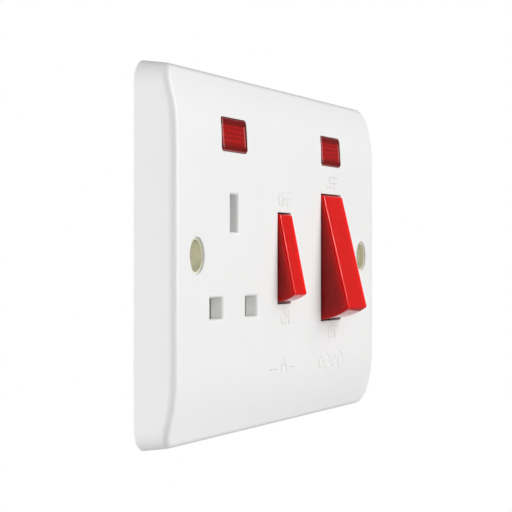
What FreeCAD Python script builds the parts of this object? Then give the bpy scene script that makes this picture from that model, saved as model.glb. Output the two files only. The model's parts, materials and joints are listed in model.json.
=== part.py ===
import FreeCAD, Part
import math
import os
from types import SimpleNamespace

import Sketcher

# Cooker control unit: a two-gang moulded plate with a switched three-pin socket and a double-pole
# cooker switch. Millimetres. +X is to the right seen from the front, +Y goes into the wall, +Z is up.
# The origin is the middle of the plate's back rim, on the wall's surface.

SIZES = [
    # front plate
    ("plate_width", 147.0),
    ("plate_height", 87.0),
    ("plate_depth", 9.7),
    ("side_draft", 1.2),
    ("rim_corner_radius", 6.0),
    ("face_corner_radius", 5.0),
    ("face_edge_round", 2.0),
    ("face_roll_start", 27.0),
    ("face_roll_radius", 41.0),
    ("face_wall", 3.2),
    ("side_wall", 2.4),
    ("margin_step", 2.1),
    ("margin_gap", 1.0),
    ("rib_thickness", 1.6),
    ("rib_sink", 2.0),
    # fixing holes and their lining
    ("fixing_pitch", 120.6),
    ("fixing_hole_radius", 2.1),
    ("fixing_recess_radius", 4.2),
    ("fixing_recess_depth", 5.4),
    ("fixing_boss_radius", 5.4),
    ("bush_wall", 0.5),
    ("bush_sink", 0.5),
    # socket outlet
    ("socket_x", -37.64),
    ("pin_row_z", -12.19),
    ("pin_pitch", 22.23),
    ("earth_rise", 22.23),
    ("live_slot_width", 7.8),
    ("live_slot_height", 4.9),
    ("earth_slot_width", 5.0),
    ("earth_slot_height", 8.8),
    ("live_pin_length", 17.7),
    ("earth_pin_length", 22.7),
    ("clip_gap", 4.3),
    ("clip_leaf", 0.6),
    ("live_clip_width", 6.6),
    ("earth_clip_height", 8.8),
    ("clip_setback", 2.0),
    ("pin_tip_gap", 0.2),
    # shutter
    ("shutter_thickness", 2.6),
    ("shutter_gap", 0.2),
    ("shutter_lap", 0.4),
    ("shutter_travel", 6.0),
    ("shutter_stem_width", 4.4),
    ("shutter_back", 0.4),
    ("shutter_spring_length", 12.8),
    ("shutter_spring_radius", 1.0),
    ("shutter_spring_pitch", 1.9),
    ("spring_wire", 0.4),
    # neon indicators
    ("neon_z", 28.45),
    ("neon_width", 16.3),
    ("neon_height", 8.1),
    ("neon_corner_radius", 1.1),
    ("lens_gap", 0.1),
    ("lens_flange", 1.0),
    ("lens_flange_thickness", 0.9),
    ("lens_top_sink", 0.15),
    ("lens_bottom_rise", 0.45),
    ("lens_edge_round", 0.8),
    ("lens_groove", 0.55),
    ("lens_groove_pitch", 1.15),
    ("lens_groove_pairs", 2),
    ("lens_groove_depth", 1.5),
    ("lamp_radius", 2.7),
    ("lamp_length", 13.0),
    ("resistor_radius", 1.1),
    ("resistor_length", 6.4),
    ("resistor_lead", 3.0),
    ("resistor_drop", 4.7),
    # rockers
    ("socket_rocker_x", -3.75),
    ("socket_rocker_z", -0.6),
    ("socket_rocker_width", 9.1),
    ("socket_rocker_radius", 11.3),
    ("socket_rocker_rise", 4.77),
    ("socket_rocker_tilt", 11.4),
    ("cooker_rocker_x", 33.2),
    ("cooker_rocker_z", -0.35),
    ("cooker_rocker_width", 16.0),
    ("cooker_rocker_radius", 16.9),
    ("cooker_rocker_rise", 6.55),
    ("cooker_rocker_tilt", 13.4),
    ("rocker_wall", 1.6),
    ("rocker_skirt", 2.5),
    ("rocker_edge_round", 0.5),
    ("trunnion_radius", 1.0),
    ("trunnion_length", 1.5),
    ("window_gap", 0.3),
    ("well_gap", 0.5),
    # plungers and see-saw contacts
    ("socket_plunger_reach", 8.6),
    ("socket_plunger_radius", 1.4),
    ("cooker_plunger_reach", 10.4),
    ("cooker_plunger_radius", 1.7),
    ("plunger_gap", 0.1),
    ("tube_wall", 0.9),
    ("tube_reach", 4.6),
    ("plunger_seat", 0.8),
    ("plunger_spring_pitch", 1.5),
    ("pole_pitch", 8.4),
    ("beam_gap", 0.3),
    ("beam_thickness", 1.1),
    ("beam_tilt", 8.0),
    ("knuckle_radius", 1.0),
    ("knuckle_rise", 0.4),
    ("socket_beam_reach", 7.0),
    ("socket_beam_width", 4.2),
    ("cooker_beam_reach", 9.2),
    ("cooker_beam_width", 4.8),
    ("tip_radius", 1.4),
    ("tip_height", 0.35),
    ("tip_inset", 0.2),
    ("contact_gap", 0.25),
    ("cradle_gap", 0.12),
    ("cradle_lip", 0.8),
    ("cradle_lip_height", 0.6),
    # straps, arms and terminals
    ("strap_thickness", 1.0),
    ("arm_thickness", 0.8),
    ("arm_width", 3.4),
    ("arm_room", 0.2),
    ("tab_reach", 5.5),
    ("neutral_arm_air", 2.2),
    ("neutral_run_z", -31.5),
    ("feed_run_z", -23.4),
    ("earth_arm_z", 10.2),
    ("earth_column_x", -17.8),
    ("earth_run_z", 24.0),
    ("block_width", 9.0),
    ("block_length", 11.0),
    ("block_depth", 9.5),
    ("block_end_z", 33.0),
    ("block_pitch", 16.0),
    ("block_lap", 6.5),
    ("bore_radius", 2.8),
    ("bore_wall", 1.6),
    ("earth_block_x", 0.5),
    ("earth_bore_pitch", 9.0),
    ("terminal_screw_radius", 2.4),
    ("terminal_head_radius", 3.0),
    ("terminal_head_height", 1.9),
    # base moulding
    ("base_left", -54.1),
    ("base_right", 53.6),
    ("base_half_height", 35.0),
    ("base_corner_radius", 3.0),
    ("base_depth", 23.4),
    ("base_edge_round", 1.0),
    ("base_end_depth", 15.2),
    ("base_taper", 17.6),
    ("base_wall", 1.8),
    # screws that join the base to the plate
    ("left_screw_x", -49.6),
    ("left_screw_z", 20.0),
    ("inner_screw_x", -24.2),
    ("inner_screw_z", 19.2),
    ("low_screw_x", -13.0),
    ("low_screw_z", -15.5),
    ("middle_screw_x", 12.5),
    ("middle_screw_z", 3.0),
    ("right_screw_x", 49.2),
    ("right_screw_z", 0.0),
    ("screw_radius", 1.4),
    ("screw_head_radius", 2.8),
    ("screw_head_height", 1.8),
    ("screw_head_seat", 13.0),
    ("screw_boss_radius", 2.9),
    ("screw_boss_length", 6.0),
    ("slot_width", 0.9),
    # clearances that several pieces share
    ("run_gap", 0.1),
    ("press_gap", 0.05),
    ("drop_gap", 0.2),
]

doc = FreeCAD.newDocument("cooker_control_unit")
sheet = doc.addObject("Spreadsheet::Sheet", "dim")


class Term:
    """A formula over the sheet's cells, put together with ordinary arithmetic."""

    def __init__(self, text):
        self.text = str(text)

    def __str__(self):
        return self.text

    def __add__(self, other):
        return Term(f"({self} + {other})")

    def __radd__(self, other):
        return Term(f"({other} + {self})")

    def __sub__(self, other):
        return Term(f"({self} - {other})")

    def __rsub__(self, other):
        return Term(f"({other} - {self})")

    def __mul__(self, other):
        return Term(f"({self} * {other})")

    def __truediv__(self, other):
        return Term(f"({self} / {other})")

    def __neg__(self):
        return Term(f"(0 - {self})")


def fill_sheet():
    for row, (name, number) in enumerate(SIZES, start=1):
        sheet.set(f"A{row}", name)
        sheet.set(f"B{row}", str(number))
        sheet.setAlias(f"B{row}", name)
    doc.recompute()


def value(term):
    """The number that a formula has now."""
    result = sheet.evalExpression(str(term))
    return float(getattr(result, "Value", result))


def sine(angle):
    return Term(f"sin({angle} * 1 deg)")


def root(term):
    return Term(f"sqrt({term})")


fill_sheet()
size = SimpleNamespace(**{name: Term(f"dim.{name}") for name, _ in SIZES})
ZERO = Term("0")
QUARTER_TURN = math.pi / 2

# Depths, front to back
FRONT = -size.plate_depth
INNER = FRONT + size.face_wall
DECK = INNER + size.shutter_thickness + size.shutter_gap * 2
PIVOT = INNER - size.trunnion_radius - size.run_gap
BASE_REAR = INNER + size.base_depth

# Places on the face
EARTH_Z = size.pin_row_z + size.earth_rise
LINE_X = size.socket_x + size.pin_pitch / 2
NEUTRAL_X = size.socket_x - size.pin_pitch / 2
FIXING_X = size.fixing_pitch / 2
SCREW_PLACES = [
    (getattr(size, f"{name}_screw_x"), getattr(size, f"{name}_screw_z"))
    for name in ("left", "inner", "low", "middle", "right")
]


class Switch:
    """The places that one rocker and the contacts under it share."""

    def __init__(self, name, poles):
        self.name = name
        self.x = getattr(size, f"{name}_rocker_x")
        self.z = getattr(size, f"{name}_rocker_z")
        self.half_width = getattr(size, f"{name}_rocker_width") / 2
        self.radius = getattr(size, f"{name}_rocker_radius")
        self.rise = getattr(size, f"{name}_rocker_rise")
        self.tilt = getattr(size, f"{name}_rocker_tilt")
        self.reach = getattr(size, f"{name}_plunger_reach")
        self.plunger_radius = getattr(size, f"{name}_plunger_radius")
        self.beam_reach = getattr(size, f"{name}_beam_reach")
        self.beam_half = getattr(size, f"{name}_beam_width") / 2
        self.poles = poles
        self.tip_offset = self.beam_reach - size.tip_radius - size.tip_inset
        beam_front = PIVOT + self.reach + size.beam_gap
        self.beam_y = beam_front + size.beam_thickness + size.knuckle_rise
        swing = self.beam_reach * sine(size.beam_tilt)
        moving_tip = self.beam_y - size.knuckle_rise + size.tip_height + swing
        self.strap_y = moving_tip + size.contact_gap + size.tip_height
        # the rocker's skirt is deepest at its inner end
        depth = size.rocker_skirt + self.radius * sine(self.tilt)
        self.well_floor = PIVOT + depth + size.well_gap


SOCKET = Switch("socket", {"": ZERO})
COOKER = Switch("cooker", {"line_": size.pole_pitch / -2, "neutral_": size.pole_pitch / 2})
ARM_Y = SOCKET.strap_y
ARM_BACK = ARM_Y + size.arm_thickness
NEUTRAL_ARM_Y = COOKER.strap_y - size.neutral_arm_air - size.arm_thickness
BLOCK_FRONT = COOKER.strap_y + size.strap_thickness
BLOCK_REAR = BLOCK_FRONT + size.block_depth
BLOCK_INNER_Z = size.block_end_z - size.block_length
BORE_Y = BLOCK_FRONT + size.bore_wall + size.bore_radius
LINE_BLOCK_X = COOKER.x - size.block_pitch / 2
NEUTRAL_BLOCK_X = COOKER.x + size.block_pitch / 2
EARTH_BLOCK_HALF = (size.earth_bore_pitch + size.block_width) / 2
EARTH_BLOCK_LEFT = size.earth_block_x - EARTH_BLOCK_HALF
LINE_BLOCK_LEFT = LINE_BLOCK_X - size.block_width / 2
NEUTRAL_BLOCK_LEFT = NEUTRAL_BLOCK_X - size.block_width / 2
WING_HALF_HEIGHT = size.live_slot_height / 2 + size.shutter_lap
WING_BOTTOM = size.pin_row_z - WING_HALF_HEIGHT
SPRING_SEAT_Z = WING_BOTTOM - size.shutter_spring_length
NEONS = {"socket": size.socket_x, "cooker": COOKER.x}
LAMP_Y = INNER + size.lens_flange_thickness + size.drop_gap + size.lamp_radius + size.run_gap
LAMP_FLOOR = LAMP_Y + size.lamp_radius + size.run_gap


# Drawing and solids

def new_body(label, x=ZERO, y=ZERO, z=ZERO):
    body = doc.addObject("PartDesign::Body", label)
    body.Label = label
    for axis, term in zip("xyz", (x, y, z)):
        body.setExpression(f"Placement.Base.{axis}", str(term))
    return body


def turn_body(body, direction, angle):
    """Turn a body about its own X axis, clockwise or not by the sign of direction."""
    place = body.Placement
    axis = FreeCAD.Vector(direction, 0, 0)
    body.Placement = FreeCAD.Placement(place.Base, FreeCAD.Rotation(axis, value(angle)))
    body.setExpression("Placement.Rotation.Angle", f"{angle} * 1 deg")


def new_sketch(body, plane, level):
    sketch = body.newObject("Sketcher::SketchObject", "outline")
    planes = [item for item in body.Origin.OriginFeatures if item.Role == f"{plane}_Plane"]
    sketch.AttachmentSupport = (planes[0], [""])
    sketch.MapMode = "FlatFace"
    # the XZ plane's normal points to the front
    offset = -level if plane == "XZ" else level
    sketch.setExpression("AttachmentOffset.Base.z", str(offset))
    return sketch


def constrain(sketch, rules):
    """Add constraints together; a rule that ends with a formula is bound to it."""
    constraints = []
    for rule in rules:
        *given, last = rule
        number = [value(last)] if isinstance(last, Term) else [last]
        constraints.append(Sketcher.Constraint(*given, *number))
    for index, rule in zip(sketch.addConstraint(constraints), rules):
        if isinstance(rule[-1], Term):
            sketch.setExpression(f"Constraints[{index}]", str(rule[-1]))


def held(geometry, point, across, up):
    """Rules that place a sketch point from the sketch's origin."""
    return [("DistanceX", -1, 1, geometry, point, across), ("DistanceY", -1, 1, geometry, point, up)]


def polygon(sketch, corners):
    """A closed outline through corners given as pairs of formulas."""
    points = [FreeCAD.Vector(value(a), value(b), 0) for a, b in corners]
    count = len(points)
    first = sketch.GeometryCount
    sketch.addGeometry([Part.LineSegment(points[i], points[(i + 1) % count]) for i in range(count)])
    rules = [("Coincident", first + i, 2, first + (i + 1) % count, 1) for i in range(count)]
    for i, (a, b) in enumerate(corners):
        rules += held(first + i, 1, a, b)
    constrain(sketch, rules)


def rectangle(sketch, left, right, bottom, top):
    polygon(sketch, [(left, bottom), (right, bottom), (right, top), (left, top)])


def circle(sketch, across, up, radius):
    centre = FreeCAD.Vector(value(across), value(up), 0)
    index = sketch.addGeometry(Part.Circle(centre, FreeCAD.Vector(0, 0, 1), value(radius)))
    constrain(sketch, held(index, 3, across, up) + [("Radius", index, radius)])


def rounded(sketch, left, right, bottom, top, radius):
    """A rectangle with round corners: four sides, then four arcs, tangent in turn."""
    x0, x1, z0, z1, r = (value(term) for term in (left, right, bottom, top, radius))
    point = FreeCAD.Vector
    sides = [
        (point(x0 + r, z0, 0), point(x1 - r, z0, 0)),
        (point(x1, z0 + r, 0), point(x1, z1 - r, 0)),
        (point(x1 - r, z1, 0), point(x0 + r, z1, 0)),
        (point(x0, z1 - r, 0), point(x0, z0 + r, 0)),
    ]
    centres = [(x1 - r, z0 + r), (x1 - r, z1 - r), (x0 + r, z1 - r), (x0 + r, z0 + r)]
    first = sketch.GeometryCount
    sketch.addGeometry([Part.LineSegment(start, end) for start, end in sides])
    for i, (x, z) in enumerate(centres):
        ring = Part.Circle(point(x, z, 0), point(0, 0, 1), r)
        sketch.addGeometry(Part.ArcOfCircle(ring, (i - 1) * QUARTER_TURN, i * QUARTER_TURN))
    rules = []
    for i in range(4):
        side, arc, after = first + i, first + 4 + i, first + (i + 1) % 4
        rules += [("Tangent", side, 2, arc, 1), ("Tangent", arc, 2, after, 1)]
        rules.append(("Vertical" if i % 2 else "Horizontal", side))
    rules += [("Equal", first + 4, first + 4 + i) for i in range(1, 4)]
    rules += [
        ("DistanceY", -1, 1, first, 1, bottom),
        ("DistanceX", -1, 1, first + 1, 1, right),
        ("DistanceY", -1, 1, first + 2, 1, top),
        ("DistanceX", -1, 1, first + 3, 1, left),
        ("Radius", first + 4, radius),
    ]
    constrain(sketch, rules)


def notch(sketch, bottom, mouth, across, radius):
    """A slot from its mouth to a round end about the point (bottom, across)."""
    x0, x1, z, r = (value(term) for term in (bottom, mouth, across, radius))
    point = FreeCAD.Vector
    ring = Part.Circle(point(x0, z, 0), point(0, 0, 1), r)
    first = sketch.GeometryCount
    sketch.addGeometry([
        Part.LineSegment(point(x1, z + r, 0), point(x0, z + r, 0)),
        Part.ArcOfCircle(ring, QUARTER_TURN, 3 * QUARTER_TURN),
        Part.LineSegment(point(x0, z - r, 0), point(x1, z - r, 0)),
        Part.LineSegment(point(x1, z - r, 0), point(x1, z + r, 0)),
    ])
    high, arc, low, end = range(first, first + 4)
    rules = [
        ("Tangent", high, 2, arc, 1),
        ("Tangent", arc, 2, low, 1),
        ("Coincident", low, 2, end, 1),
        ("Coincident", end, 2, high, 1),
        ("Horizontal", high),
        ("Vertical", end),
        ("DistanceX", -1, 1, end, 1, mouth),
        ("Radius", arc, radius),
    ]
    constrain(sketch, rules + held(arc, 3, bottom, across))


def extrude(body, plane, start, stop, draw, remove=False):
    """Add or remove what draw() outlines between two levels, start being the lower one."""
    sketch = new_sketch(body, plane, start)
    draw(sketch)
    kind = "PartDesign::Pocket" if remove else "PartDesign::Pad"
    feature = body.newObject(kind, "extrusion")
    feature.Profile = sketch
    feature.setExpression("Length", str(stop - start))
    feature.Reversed = (plane == "XZ") != remove
    # faces are merged once, on the body's last feature
    feature.Refine = False
    return feature


def cut_boxes(body, start, stop, boxes):
    """Remove rectangles in X and Z between two depths."""
    def draw(sketch):
        for box in boxes:
            rectangle(sketch, *box)
    extrude(body, "XZ", start, stop, draw, remove=True)


def add_box(body, start, stop, box):
    extrude(body, "XZ", start, stop, lambda sketch: rectangle(sketch, *box))


def cut_circles(body, start, stop, circles):
    def draw(sketch):
        for ring in circles:
            circle(sketch, *ring)
    extrude(body, "XZ", start, stop, draw, remove=True)


def add_circles(body, start, stop, circles):
    def draw(sketch):
        for ring in circles:
            circle(sketch, *ring)
    extrude(body, "XZ", start, stop, draw)


def revolve(body, plane, corners):
    """Turn an outline of (along, radius) points about the sketch's level axis."""
    sketch = new_sketch(body, plane, ZERO)
    polygon(sketch, corners)
    feature = body.newObject("PartDesign::Revolution", "turned")
    feature.Profile = sketch
    feature.ReferenceAxis = (sketch, ["H_Axis"])
    feature.Angle = 360
    return feature


def round_edges(body, radius, wanted):
    """Round the edges of the body's last feature that wanted() picks by their end points."""
    base = body.Tip
    base.recompute(True)
    names = []
    for number, edge in enumerate(base.Shape.Edges, start=1):
        ends = [vertex.Point for vertex in edge.Vertexes]
        if wanted(edge, ends):
            names.append(f"Edge{number}")
    fillet = body.newObject("PartDesign::Fillet", "rounding")
    fillet.Base = (base, names)
    fillet.setExpression("Radius", str(radius))
    return fillet


def near(a, b):
    return abs(a - b) < 0.001


def group(label, bodies):
    """Like pieces that share one node."""
    compound = doc.addObject("Part::Compound", label)
    compound.Label = label
    compound.Links = bodies
    return compound


def coil(body, axis, start, length, radius, pitch):
    """A spring of square wire wound about one of the sketch's axes, length over all."""
    wire = size.spring_wire / 2
    sketch = new_sketch(body, "YZ", ZERO)
    corners = []
    for step in range(4):
        turn = step * QUARTER_TURN
        along = start + wire + wire * math.cos(turn)
        out = radius + wire * math.sin(turn)
        corners.append((along, out) if axis == "H_Axis" else (out, along))
    polygon(sketch, corners)
    feature = body.newObject("PartDesign::AdditiveHelix", "coil")
    feature.Profile = sketch
    feature.ReferenceAxis = (sketch, [axis])
    feature.Mode = "pitch-height-angle"
    feature.setExpression("Pitch", str(pitch))
    feature.setExpression("Height", str(length - size.spring_wire))
    return feature


# Front plate

def rounded_plate(sketch, inset, radius):
    half_width = size.plate_width / 2 - inset
    half_height = size.plate_height / 2 - inset
    rounded(sketch, -half_width, half_width, -half_height, half_height, radius)


def window_box(switch):
    half_width = switch.half_width + size.window_gap
    half_height = switch.radius + size.window_gap
    return (switch.x - half_width, switch.x + half_width, switch.z - half_height, switch.z + half_height)


def slot_box(x, z, width, height):
    return (x - width / 2, x + width / 2, z - height / 2, z + height / 2)


def face_roll(sketch, side):
    """What the roll takes off the face towards its top or bottom edge."""
    start = size.face_roll_start * side
    edge = (size.plate_height / 2 + size.face_wall) * side
    outside = FRONT - size.face_wall
    radius = size.face_roll_radius
    point = FreeCAD.Vector
    ring = Part.Circle(point(value(FRONT + radius), value(start), 0), point(0, 0, 1), value(radius))
    turn = math.asin(value((edge - start) / radius) * side)
    if side > 0:
        arc = Part.ArcOfCircle(ring, math.pi - turn, math.pi)
        flat, far, flat_end, far_end = arc.EndPoint, arc.StartPoint, 2, 1
    else:
        arc = Part.ArcOfCircle(ring, math.pi, math.pi + turn)
        flat, far, flat_end, far_end = arc.StartPoint, arc.EndPoint, 1, 2
    high, low = point(value(outside), far.y, 0), point(value(outside), flat.y, 0)
    first = sketch.GeometryCount
    sketch.addGeometry([
        arc, Part.LineSegment(far, high), Part.LineSegment(high, low), Part.LineSegment(low, flat),
    ])
    over, front, under = first + 1, first + 2, first + 3
    rules = [
        ("Coincident", first, far_end, over, 1),
        ("Coincident", over, 2, front, 1),
        ("Coincident", front, 2, under, 1),
        ("Coincident", under, 2, first, flat_end),
        ("Horizontal", over),
        ("Horizontal", under),
        ("Radius", first, radius),
    ]
    rules += held(first, 3, FRONT + radius, start)
    rules += held(front, 1, outside, edge)
    rules += held(front, 2, outside, start)
    constrain(sketch, rules)


def roll_face(body):
    """Curve the face back towards its top and bottom edges, then round its whole outline."""
    def draw(sketch):
        for side in (1, -1):
            face_roll(sketch, side)

    extrude(body, "YZ", -size.plate_width, size.plate_width, draw, remove=True)
    behind = value(FRONT / 4)
    seam = value(size.face_roll_start)

    def on_outline(edge, ends):
        low, high = ends[0], ends[-1]
        if near(low.z, high.z) and near(abs(low.z), seam):
            return False
        return low.y < behind and high.y < behind

    round_edges(body, size.face_edge_round, on_outline)


def hollow_plate(body):
    """Open the back: deep over the base, shallower along the rolled top and bottom margins."""
    radius = size.face_corner_radius - size.side_wall
    half_width = size.plate_width / 2 - size.side_wall
    high = size.base_half_height + size.margin_gap
    extrude(body, "XZ", INNER, ZERO,
            lambda sketch: rounded(sketch, -half_width, half_width, -high, high, radius), remove=True)
    extrude(body, "XZ", INNER + size.margin_step, ZERO,
            lambda sketch: rounded_plate(sketch, size.side_wall, radius), remove=True)


def plate_ribs(body):
    """Stiffening ribs between the inner body and the plate's sides."""
    inner_x = size.plate_width / 2 - size.side_wall + size.side_draft / 2
    inner_z = size.plate_height / 2 - size.side_wall + size.side_draft / 2
    half = size.rib_thickness / 2
    low_z = size.base_half_height + size.margin_gap
    boss_x = FIXING_X + size.fixing_boss_radius - half
    boxes = [(boss_x, inner_x, -half, half), (-inner_x, -boss_x, -half, half)]
    for x in (size.socket_x, size.earth_block_x, COOKER.x):
        boxes.append((x - half, x + half, low_z, inner_z))
        boxes.append((x - half, x + half, -inner_z, -low_z))
    for box in boxes:
        add_box(body, INNER, -size.rib_sink, box)


def make_front_plate():
    body = new_body("front_plate")
    rim = new_sketch(body, "XZ", ZERO)
    rounded_plate(rim, ZERO, size.rim_corner_radius)
    face = new_sketch(body, "XZ", FRONT)
    rounded_plate(face, size.side_draft, size.face_corner_radius)
    shell = body.newObject("PartDesign::AdditiveLoft", "shell")
    shell.Profile = rim
    shell.Sections = [face]
    shell.Ruled = True
    roll_face(body)
    hollow_plate(body)
    plate_ribs(body)
    bosses = [(x, ZERO, size.fixing_boss_radius) for x in (FIXING_X, -FIXING_X)]
    add_circles(body, INNER, ZERO, bosses)
    recess = size.fixing_recess_radius + size.press_gap
    cut_circles(body, FRONT, FRONT + size.fixing_recess_depth,
                [(x, ZERO, recess) for x in (FIXING_X, -FIXING_X)])
    cut_circles(body, FRONT, ZERO, [(x, ZERO, size.fixing_hole_radius) for x in (FIXING_X, -FIXING_X)])
    boss_end = INNER + size.screw_boss_length
    add_circles(body, INNER, boss_end, [(x, z, size.screw_boss_radius) for x, z in SCREW_PLACES])
    pilot = size.screw_radius + size.press_gap
    cut_circles(body, INNER, boss_end, [(x, z, pilot) for x, z in SCREW_PLACES])
    cut_boxes(body, FRONT, INNER, [
        window_box(SOCKET),
        window_box(COOKER),
        slot_box(LINE_X, size.pin_row_z, size.live_slot_width, size.live_slot_height),
        slot_box(NEUTRAL_X, size.pin_row_z, size.live_slot_width, size.live_slot_height),
        slot_box(size.socket_x, EARTH_Z, size.earth_slot_width, size.earth_slot_height),
    ])

    def neon_windows(sketch):
        for x in NEONS.values():
            box = slot_box(x, size.neon_z, size.neon_width, size.neon_height)
            rounded(sketch, *box, size.neon_corner_radius)

    extrude(body, "XZ", FRONT, INNER, neon_windows, remove=True)
    for switch in (SOCKET, COOKER):
        # bearings for the rocker's trunnions, open to the back
        reach = switch.half_width + size.trunnion_length + size.run_gap * 2
        radius = size.trunnion_radius + size.run_gap
        extrude(body, "YZ", switch.x - reach, switch.x + reach,
                lambda sketch: notch(sketch, PIVOT, INNER, switch.z, radius), remove=True)
    return body


def make_fixing_bushes():
    """Cup washers pressed into the fixing holes."""
    outer = size.fixing_recess_radius
    inner = outer - size.bush_wall
    hole = size.fixing_hole_radius + size.drop_gap
    front = FRONT + size.bush_sink
    back = FRONT + size.fixing_recess_depth
    floor = back - size.bush_wall
    cups = []
    for side, x in (("right", FIXING_X), ("left", -FIXING_X)):
        body = new_body(f"bush_{side}", x)
        revolve(body, "YZ", [
            (front, inner), (front, outer), (back, outer), (back, hole), (floor, hole), (floor, inner),
        ])
        cups.append(body)
    return group("fixing_bushes", cups)


# Neon indicators

def make_lens(name, x):
    body = new_body(f"{name}_neon_lens", x)
    half_width = size.neon_width / 2 - size.lens_gap
    half_height = size.neon_height / 2 - size.lens_gap
    low, high = size.neon_z - half_height, size.neon_z + half_height

    def side(sketch):
        polygon(sketch, [
            (INNER, low),
            (FRONT - size.lens_bottom_rise, low),
            (FRONT + size.lens_top_sink, high),
            (INNER, high),
        ])

    extrude(body, "YZ", -half_width, half_width, side)
    along_y = lambda edge, ends: near(ends[0].x, ends[1].x) and near(ends[0].z, ends[1].z)
    round_edges(body, size.neon_corner_radius - size.lens_gap, along_y)
    lens_top = value(FRONT + size.lens_top_sink)
    in_front = lambda edge, ends: all(p.y < lens_top or near(p.y, lens_top) for p in ends)
    round_edges(body, size.lens_edge_round, in_front)
    flange = size.lens_flange
    add_box(body, INNER, INNER + size.lens_flange_thickness,
            (-half_width - flange, half_width + flange, low - flange, high + flange))
    groove_end = half_width - size.neon_corner_radius
    back = INNER + size.lens_flange_thickness
    boxes = []
    half_groove = size.lens_groove / 2
    pairs = int(value(size.lens_groove_pairs))
    for step in range(-pairs, pairs + 1):
        middle = size.neon_z + size.lens_groove_pitch * step
        boxes.append((-groove_end, groove_end, middle - half_groove, middle + half_groove))
    cut_boxes(body, back - size.lens_groove_depth, back, boxes)
    return body


def make_lamp(name, x):
    """A small glass discharge capsule lying behind its lens."""
    body = new_body(f"{name}_neon_lamp", x, LAMP_Y, size.neon_z)
    half = size.lamp_length / 2
    radius = size.lamp_radius
    tip = radius / 3
    revolve(body, "XY", [
        (-half, ZERO), (-half, tip * 2), (-half + tip, radius), (half - tip * 2, radius),
        (half - tip, tip), (half, tip), (half, ZERO),
    ])
    return body


def make_resistor(name, x):
    """The lamp's series resistor with its two lead wires."""
    y = LAMP_FLOOR - size.run_gap - size.resistor_radius
    body = new_body(f"{name}_neon_resistor", x, y, size.neon_z - size.resistor_drop)
    half = size.resistor_length / 2
    end = half + size.resistor_lead
    radius = size.resistor_radius
    wire = radius / 4
    revolve(body, "XY", [
        (-end, ZERO), (-end, wire), (-half, wire), (-half, radius),
        (half, radius), (half, wire), (end, wire), (end, ZERO),
    ])
    return body


# Shutter

def make_shutter():
    body = new_body("shutter", size.socket_x)
    front = INNER + size.shutter_gap
    back = front + size.shutter_thickness
    half_width = (size.pin_pitch + size.live_slot_width) / 2 + size.shutter_lap
    top = size.pin_row_z + WING_HALF_HEIGHT
    ramp_foot = EARTH_Z - size.earth_slot_height / 2
    ramp_top = ramp_foot + size.shutter_travel
    ramp_back = front + size.shutter_travel + size.shutter_back
    stem = size.shutter_stem_width / 2
    add_box(body, front, back, (-half_width, half_width, WING_BOTTOM, top))
    add_box(body, front, back, (-stem, stem, top, ramp_foot))

    def ramp(sketch):
        polygon(sketch, [
            (front, ramp_foot),
            (ramp_back - size.shutter_back, ramp_top),
            (ramp_back, ramp_top),
            (ramp_back, ramp_foot),
        ])

    extrude(body, "YZ", -stem, stem, ramp)
    return body


def make_shutter_spring():
    middle = INNER + size.shutter_gap + size.shutter_thickness / 2
    body = new_body("shutter_spring", size.socket_x, middle, SPRING_SEAT_Z + size.press_gap)
    length = size.shutter_spring_length - size.press_gap * 2
    coil(body, "V_Axis", ZERO, length, size.shutter_spring_radius, size.shutter_spring_pitch)
    return body


# Rockers

def rocker_side(sketch, switch):
    """Flat front and back joined by arcs about the pivot."""
    radius, rise, skirt = value(switch.radius), value(switch.rise), value(size.rocker_skirt)
    point = FreeCAD.Vector
    ring = Part.Circle(point(0, 0, 0), point(0, 0, 1), radius)
    spots = {}
    for name, y in (("front", -rise), ("back", skirt)):
        z = (radius**2 - y**2) ** 0.5
        spots[name] = (point(y, z, 0), point(y, -z, 0))
    angle = ring.parameter
    sketch.addGeometry([
        Part.LineSegment(*spots["front"]),
        Part.ArcOfCircle(ring, angle(spots["front"][1]), angle(spots["back"][1])),
        Part.LineSegment(spots["back"][1], spots["back"][0]),
        Part.ArcOfCircle(ring, angle(spots["back"][0]), angle(spots["front"][0])),
    ])
    rules = [("Coincident", i, 2, (i + 1) % 4, 1) for i in range(4)]
    rules += [("Coincident", arc, 3, -1, 1) for arc in (1, 3)]
    rules += [("Vertical", 0), ("Vertical", 2)]
    rules += [("DistanceX", -1, 1, 0, 1, -switch.rise), ("DistanceX", -1, 1, 2, 1, size.rocker_skirt)]
    rules.append(("Radius", 1, switch.radius))
    constrain(sketch, rules)


def make_rocker(switch):
    """A hollow rocker in the off position: its upper end is pressed in."""
    body = new_body(f"{switch.name}_rocker", switch.x, PIVOT, switch.z)
    half = switch.half_width
    extrude(body, "YZ", -half, half, lambda sketch: rocker_side(sketch, switch))
    skirt = value(size.rocker_skirt)
    round_edges(body, size.rocker_edge_round, lambda edge, ends: not all(near(p.y, skirt) for p in ends))
    wall = size.rocker_wall
    ceiling = wall - switch.rise
    inner_z = root(switch.radius * switch.radius - switch.rise * switch.rise) - wall
    cut_boxes(body, ceiling, size.rocker_skirt, [(wall - half, half - wall, -inner_z, inner_z)])
    tube = switch.plunger_radius + size.plunger_gap + size.tube_wall
    bore = switch.plunger_radius + size.plunger_gap
    for x in switch.poles.values():
        add_circles(body, ceiling, size.tube_reach, [(x, ZERO, tube)])
        cut_circles(body, ceiling, size.tube_reach, [(x, ZERO, bore)])
    reach = half + size.trunnion_length
    for start, stop in ((-reach, -half), (half, reach)):
        extrude(body, "YZ", start, stop, lambda sketch: circle(sketch, ZERO, ZERO, size.trunnion_radius))
    turn_body(body, -1, switch.tilt)
    return body


def carried_body(switch, label, x):
    """A body on the rocker's own axes, offset along the pivot, tilted with it."""
    body = new_body(label, switch.x + x, PIVOT, switch.z)
    turn_body(body, -1, switch.tilt)
    return body


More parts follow.
